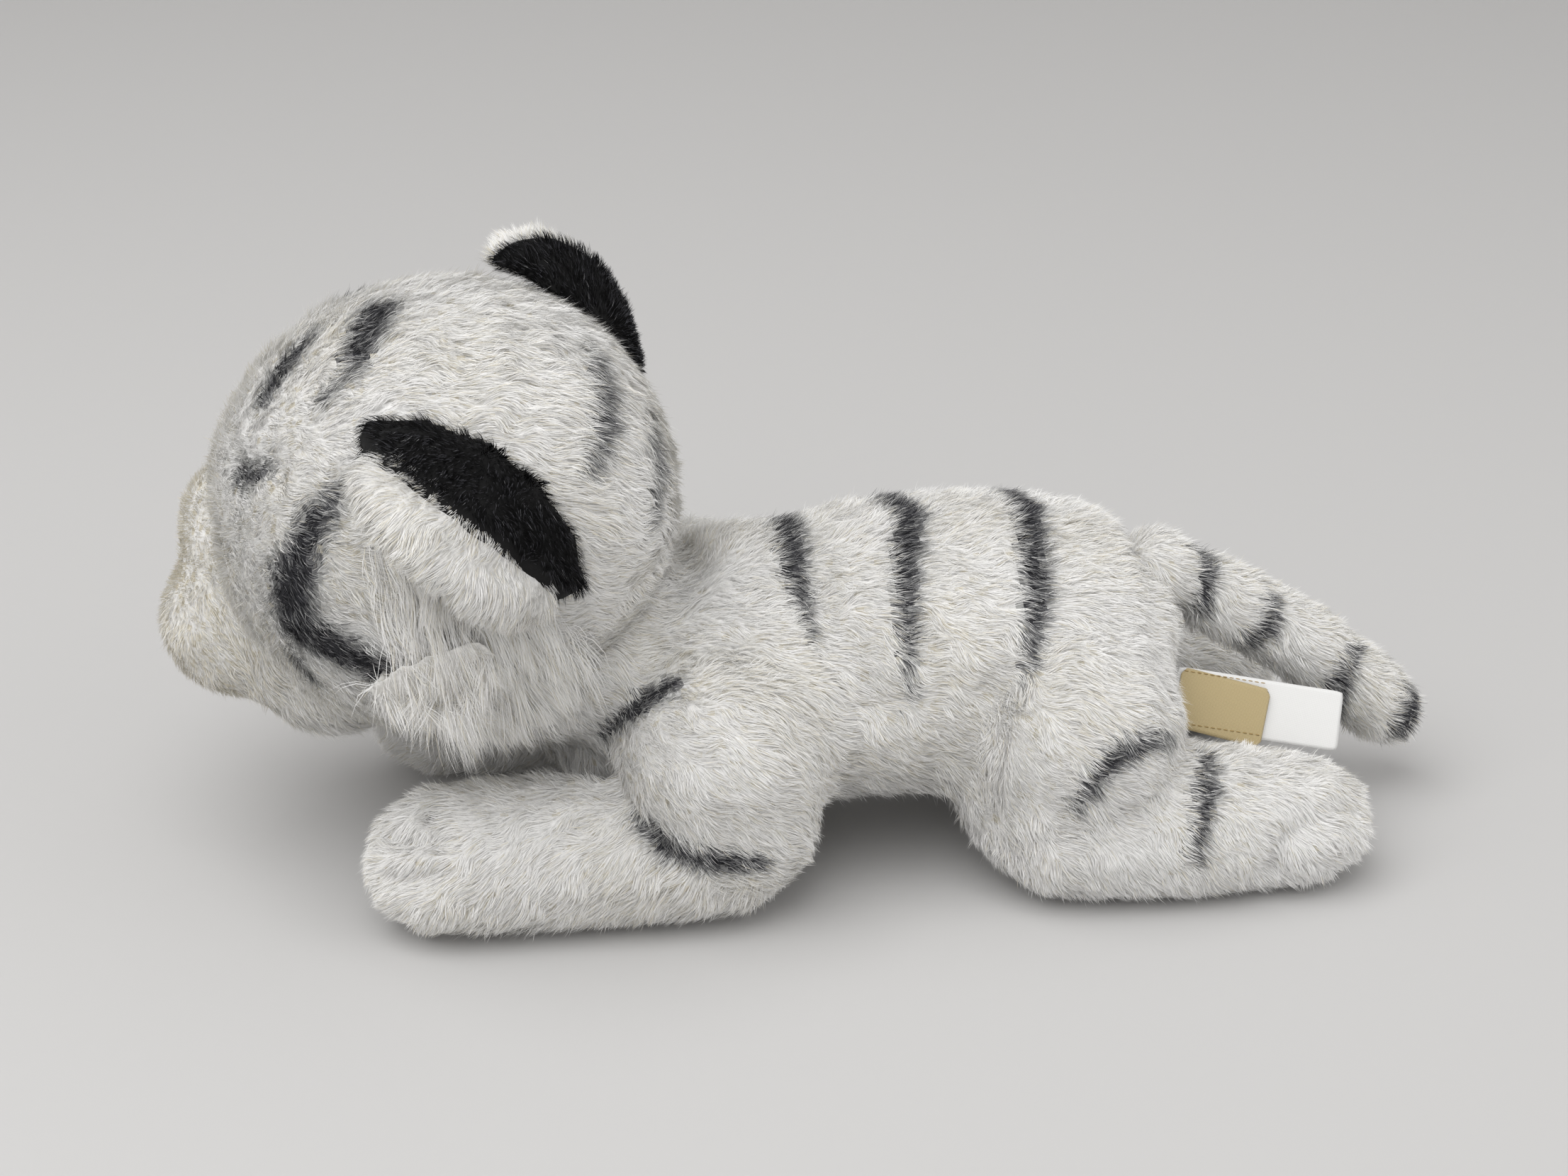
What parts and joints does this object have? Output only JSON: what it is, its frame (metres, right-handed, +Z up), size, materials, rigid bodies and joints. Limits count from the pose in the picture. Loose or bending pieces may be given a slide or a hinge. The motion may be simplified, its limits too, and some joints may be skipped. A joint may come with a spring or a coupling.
{
  "type": "plush tiger",
  "caption": "Stuffed white tiger cub lying down, with charcoal stripes, black-backed ears, splayed legs, a ringed tail and two bare sewn labels.",
  "frame": {"origin": "on the ground, under the middle of the toy's bounding box", "axes": "+X from nose to tail, +Y to the toy's right side, +Z up"},
  "size_m": [0.3246, 0.131, 0.1491],
  "materials": {
    "white_plush": "dense white pile with printed charcoal stripes",
    "cream_plush": "short cream pile",
    "long_ivory_pile": "long wispy ivory pile",
    "black_plush": "short black pile",
    "polyester_fibre": "loose white fibre",
    "pouch_cloth": "plain thin cloth bag of plastic pellets",
    "gold_ribbon": "woven gold ribbon, bare",
    "care_satin": "white satin ribbon, bare",
    "eye_plastic": "polished",
    "nose_plastic": "flocked dusky pink",
    "washer_plastic": "moulded"
  },
  "bodies": {
    "torso": {"body_left_panel": "white_plush", "body_right_panel": "white_plush", "belly_gusset": "white_plush", "body_stuffing": "polyester_fibre", "pellet_pouch": "pouch_cloth"},
    "neck": {"neck_panel": "white_plush"},
    "head": {"head_left_panel": "white_plush", "head_right_panel": "white_plush", "crown_gusset": "white_plush", "muzzle_panel": "cream_plush", "chin_panel": "cream_plush", "head_stuffing": "polyester_fibre", "nose": "nose_plastic", "eye_left": "eye_plastic", "eye_washer_left": "washer_plastic", "cheek_ruff_left": "long_ivory_pile", "eye_right": "eye_plastic", "eye_washer_right": "washer_plastic", "cheek_ruff_right": "long_ivory_pile"},
    "ear_left": {"ear_left_back": "black_plush", "ear_left_front": "white_plush"},
    "ear_right": {"ear_right_back": "black_plush", "ear_right_front": "white_plush"},
    "foreleg_left": {"foreleg_left_outer_panel": "white_plush", "foreleg_left_inner_panel": "white_plush", "foreleg_left_stuffing": "polyester_fibre"},
    "foreleg_right": {"foreleg_right_outer_panel": "white_plush", "foreleg_right_inner_panel": "white_plush", "foreleg_right_stuffing": "polyester_fibre"},
    "hindleg_left": {"hindleg_left_outer_panel": "white_plush", "hindleg_left_inner_panel": "white_plush", "hindleg_left_stuffing": "polyester_fibre"},
    "hindleg_right": {"hindleg_right_outer_panel": "white_plush", "hindleg_right_inner_panel": "white_plush", "hindleg_right_stuffing": "polyester_fibre"},
    "tail": {"tail_left_panel": "white_plush", "tail_right_panel": "white_plush", "tail_stuffing": "polyester_fibre"},
    "labels": {"gold_label": "gold_ribbon", "care_label": "care_satin"}
  },
  "joints": [
    {"name": "neck_nod", "type": "hinge", "parent": "torso", "child": "neck", "pos_m": [-0.08844, 0.00354, 0.095], "axis": [0.3746, 0.9272, 0], "range_deg": [-5, 12], "stiffness_Nm_per_rad": 3},
    {"name": "neck_turn", "type": "hinge", "parent": "neck", "child": "head", "pos_m": [-0.08844, 0.00354, 0.095], "axis": [-0.1804, 0.0164, 0.9835], "range_deg": [-12, 12], "stiffness_Nm_per_rad": 1.5},
    {"name": "ear_left_bend", "type": "hinge", "parent": "head", "child": "ear_left", "pos_m": [-0.07124, -0.04257, 0.12333], "axis": [0.7665, -0.1034, -0.6339], "range_deg": [-14, 14], "stiffness_Nm_per_rad": 0.12},
    {"name": "ear_right_bend", "type": "hinge", "parent": "head", "child": "ear_right", "pos_m": [-0.04557, 0.02266, 0.12694], "axis": [-0.4781, -0.3045, 0.8239], "range_deg": [-14, 14], "stiffness_Nm_per_rad": 0.12},
    {"name": "foreleg_left_swing", "type": "hinge", "parent": "torso", "child": "foreleg_left", "pos_m": [-0.02644, -0.03346, 0.0425], "axis": [0, 0, 1], "range_deg": [-4, 18], "stiffness_Nm_per_rad": 1},
    {"name": "foreleg_right_swing", "type": "hinge", "parent": "torso", "child": "foreleg_right", "pos_m": [-0.02644, 0.04054, 0.0425], "axis": [0, 0, 1], "range_deg": [-18, 4], "stiffness_Nm_per_rad": 1},
    {"name": "hindleg_left_swing", "type": "hinge", "parent": "torso", "child": "hindleg_left", "pos_m": [0.05955, -0.02946, 0.0405], "axis": [0, 0, 1], "range_deg": [-16, 2], "stiffness_Nm_per_rad": 1},
    {"name": "hindleg_right_swing", "type": "hinge", "parent": "torso", "child": "hindleg_right", "pos_m": [0.05955, 0.03654, 0.0405], "axis": [0, 0, 1], "range_deg": [-2, 16], "stiffness_Nm_per_rad": 1},
    {"name": "tail_lift", "type": "hinge", "parent": "torso", "child": "tail", "pos_m": [0.08755, 0.00354, 0.0665], "axis": [0, -1, 0], "range_deg": [0, 25], "stiffness_Nm_per_rad": 0.3},
    {"name": "labels_flap", "type": "hinge", "parent": "torso", "child": "labels", "pos_m": [0.08805, -0.01946, 0.042], "axis": [0.1948, 0.5, 0.8438], "range_deg": [-14, 0], "stiffness_Nm_per_rad": 0.01}
  ]
}
